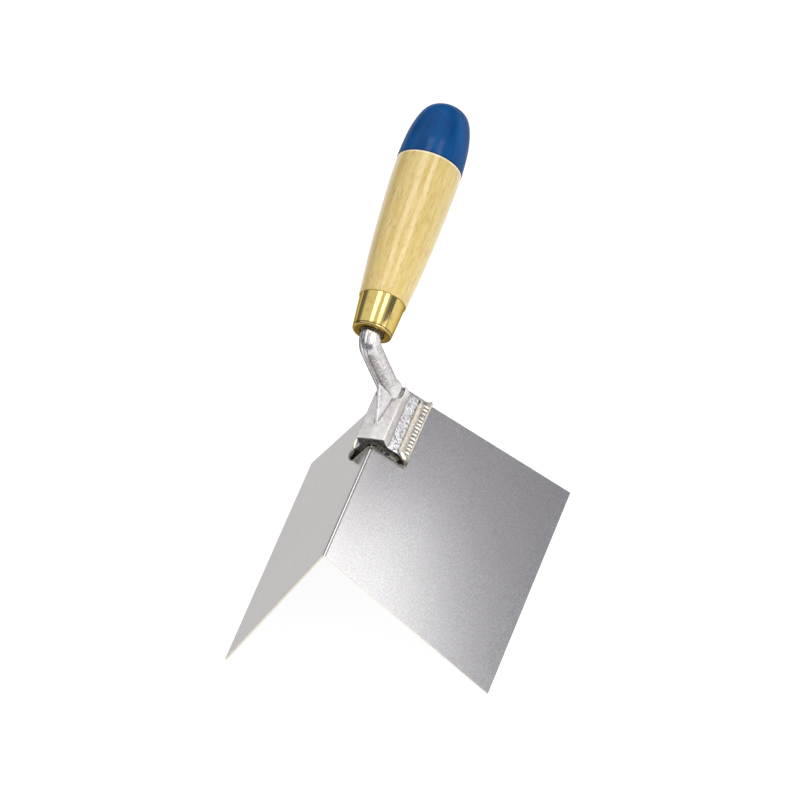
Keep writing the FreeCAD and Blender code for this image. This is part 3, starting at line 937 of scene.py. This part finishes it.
def studio_sky():
    """Soft sky that is dim and cool at the horizon and bright overhead."""
    world = bpy.data.worlds.new("studio_sky")
    bpy.context.scene.world = world
    world.use_nodes = True
    nodes, links = world.node_tree.nodes, world.node_tree.links
    place = nodes.new("ShaderNodeTexCoord")
    split = nodes.new("ShaderNodeSeparateXYZ")
    rise = nodes.new("ShaderNodeMapRange")
    rise.interpolation_type = "SMOOTHSTEP"
    rise.inputs["From Min"].default_value = SKY_DIM_BELOW
    rise.inputs["From Max"].default_value = SKY_BRIGHT_ABOVE
    blend = nodes.new("ShaderNodeMix")
    blend.data_type = "RGBA"
    blend.inputs["A"].default_value = rgb(*HORIZON_LIGHT)
    blend.inputs["B"].default_value = rgb(*OVERHEAD_LIGHT)
    links.new(place.outputs["Generated"], split.inputs[0])
    links.new(split.outputs["Z"], rise.inputs["Value"])
    links.new(rise.outputs[0], blend.inputs["Factor"])
    links.new(blend.outputs["Result"], nodes["Background"].inputs["Color"])
    nodes["Background"].inputs["Strength"].default_value = 1.0


def studio():
    """White floor, sky and the four softboxes."""
    bpy.ops.mesh.primitive_plane_add(size=30, location=(0, 0, 0))
    floor = bpy.context.object
    floor.name = "studio_floor"
    paint = Graph("pale_floor")
    paint.set(
        Base_Color=rgb(0.25, 0.25, 0.25),
        Roughness=0.9,
        Specular_IOR_Level=0.0,
        Emission_Color=rgb(1, 1, 1),
        Emission_Strength=0.88,
    )
    floor.data.materials.append(paint.material)
    studio_sky()
    softbox("key_softbox", KEY_PLACE, KEY_AIM, KEY_SIZE, KEY_RADIANCE)
    wing_light()
    for name, towards, width, radiance in STRIPS:
        place = RIM_CENTRE + Vector(towards).normalized() * STRIP_DISTANCE
        softbox(name, place, RIM_CENTRE, (width, STRIP_LENGTH), radiance, AXIS)


def wing_light():
    """Near softbox beside the right wing, which fades towards its rear outer corner."""
    rearwards = WING_LIGHT_WAY.cross(WING_LIGHT_FADE)
    place = FOLD_REAR - Vector((0, FOLD_LENGTH, 0)) * MM + WING_LIGHT_WAY * WING_LIGHT_DISTANCE
    place += WING_LIGHT_FADE * (WING_LIGHT_LOWER_EDGE - WING_LIGHT_HEIGHT / 2)
    place += rearwards * (WING_LIGHT_REAR_EDGE - WING_LIGHT_WIDTH / 2)
    size = (WING_LIGHT_WIDTH, WING_LIGHT_HEIGHT)
    softbox("wing_softbox", place, place - WING_LIGHT_WAY, size, WING_LIGHT_RADIANCE,
            WING_LIGHT_FADE, WING_LIGHT_COLOUR)


def photo_camera():
    """Long lens above and in front of the right wing, rolled about its own axis."""
    azimuth = math.radians(CAMERA_AZIMUTH)
    elevation = math.radians(CAMERA_ELEVATION)
    backwards = Vector((
        math.cos(elevation) * math.sin(azimuth),
        -math.cos(elevation) * math.cos(azimuth),
        math.sin(elevation),
    ))
    data = bpy.data.cameras.new("photo_camera")
    data.lens = CAMERA_LENS
    data.sensor_width = 36
    camera = bpy.data.objects.new("photo_camera", data)
    bpy.context.scene.collection.objects.link(camera)
    turn = Matrix.Rotation(math.radians(CAMERA_ROLL), 4, "Z")
    aim = backwards.to_track_quat("Z", "Y").to_matrix().to_4x4() @ turn.inverted()
    camera.matrix_world = Matrix.Translation(FOLD_REAR + CAMERA_AIM + backwards * CAMERA_DISTANCE) @ aim
    bpy.context.scene.camera = camera


# ---------------------------------------------------------------- assembly

photo_camera()
studio()
dress(folded_blade(), "blade")
dress(crimped_bracket(), "mounting_bracket")
dress(shank_skin(), "shank_casting")
dress(ferrule_cup(), "ferrule")
dress(turned_handle(), "handle")
dress(lacquer_film(), "handle_end_dip")
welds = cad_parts["spot_welds"]
welds.data.materials.clear()
welds.data.materials.append(fused_steel())

settings = bpy.context.scene.view_settings
settings.view_transform = "Standard"
settings.look = "None"

bpy.context.view_layer.update()
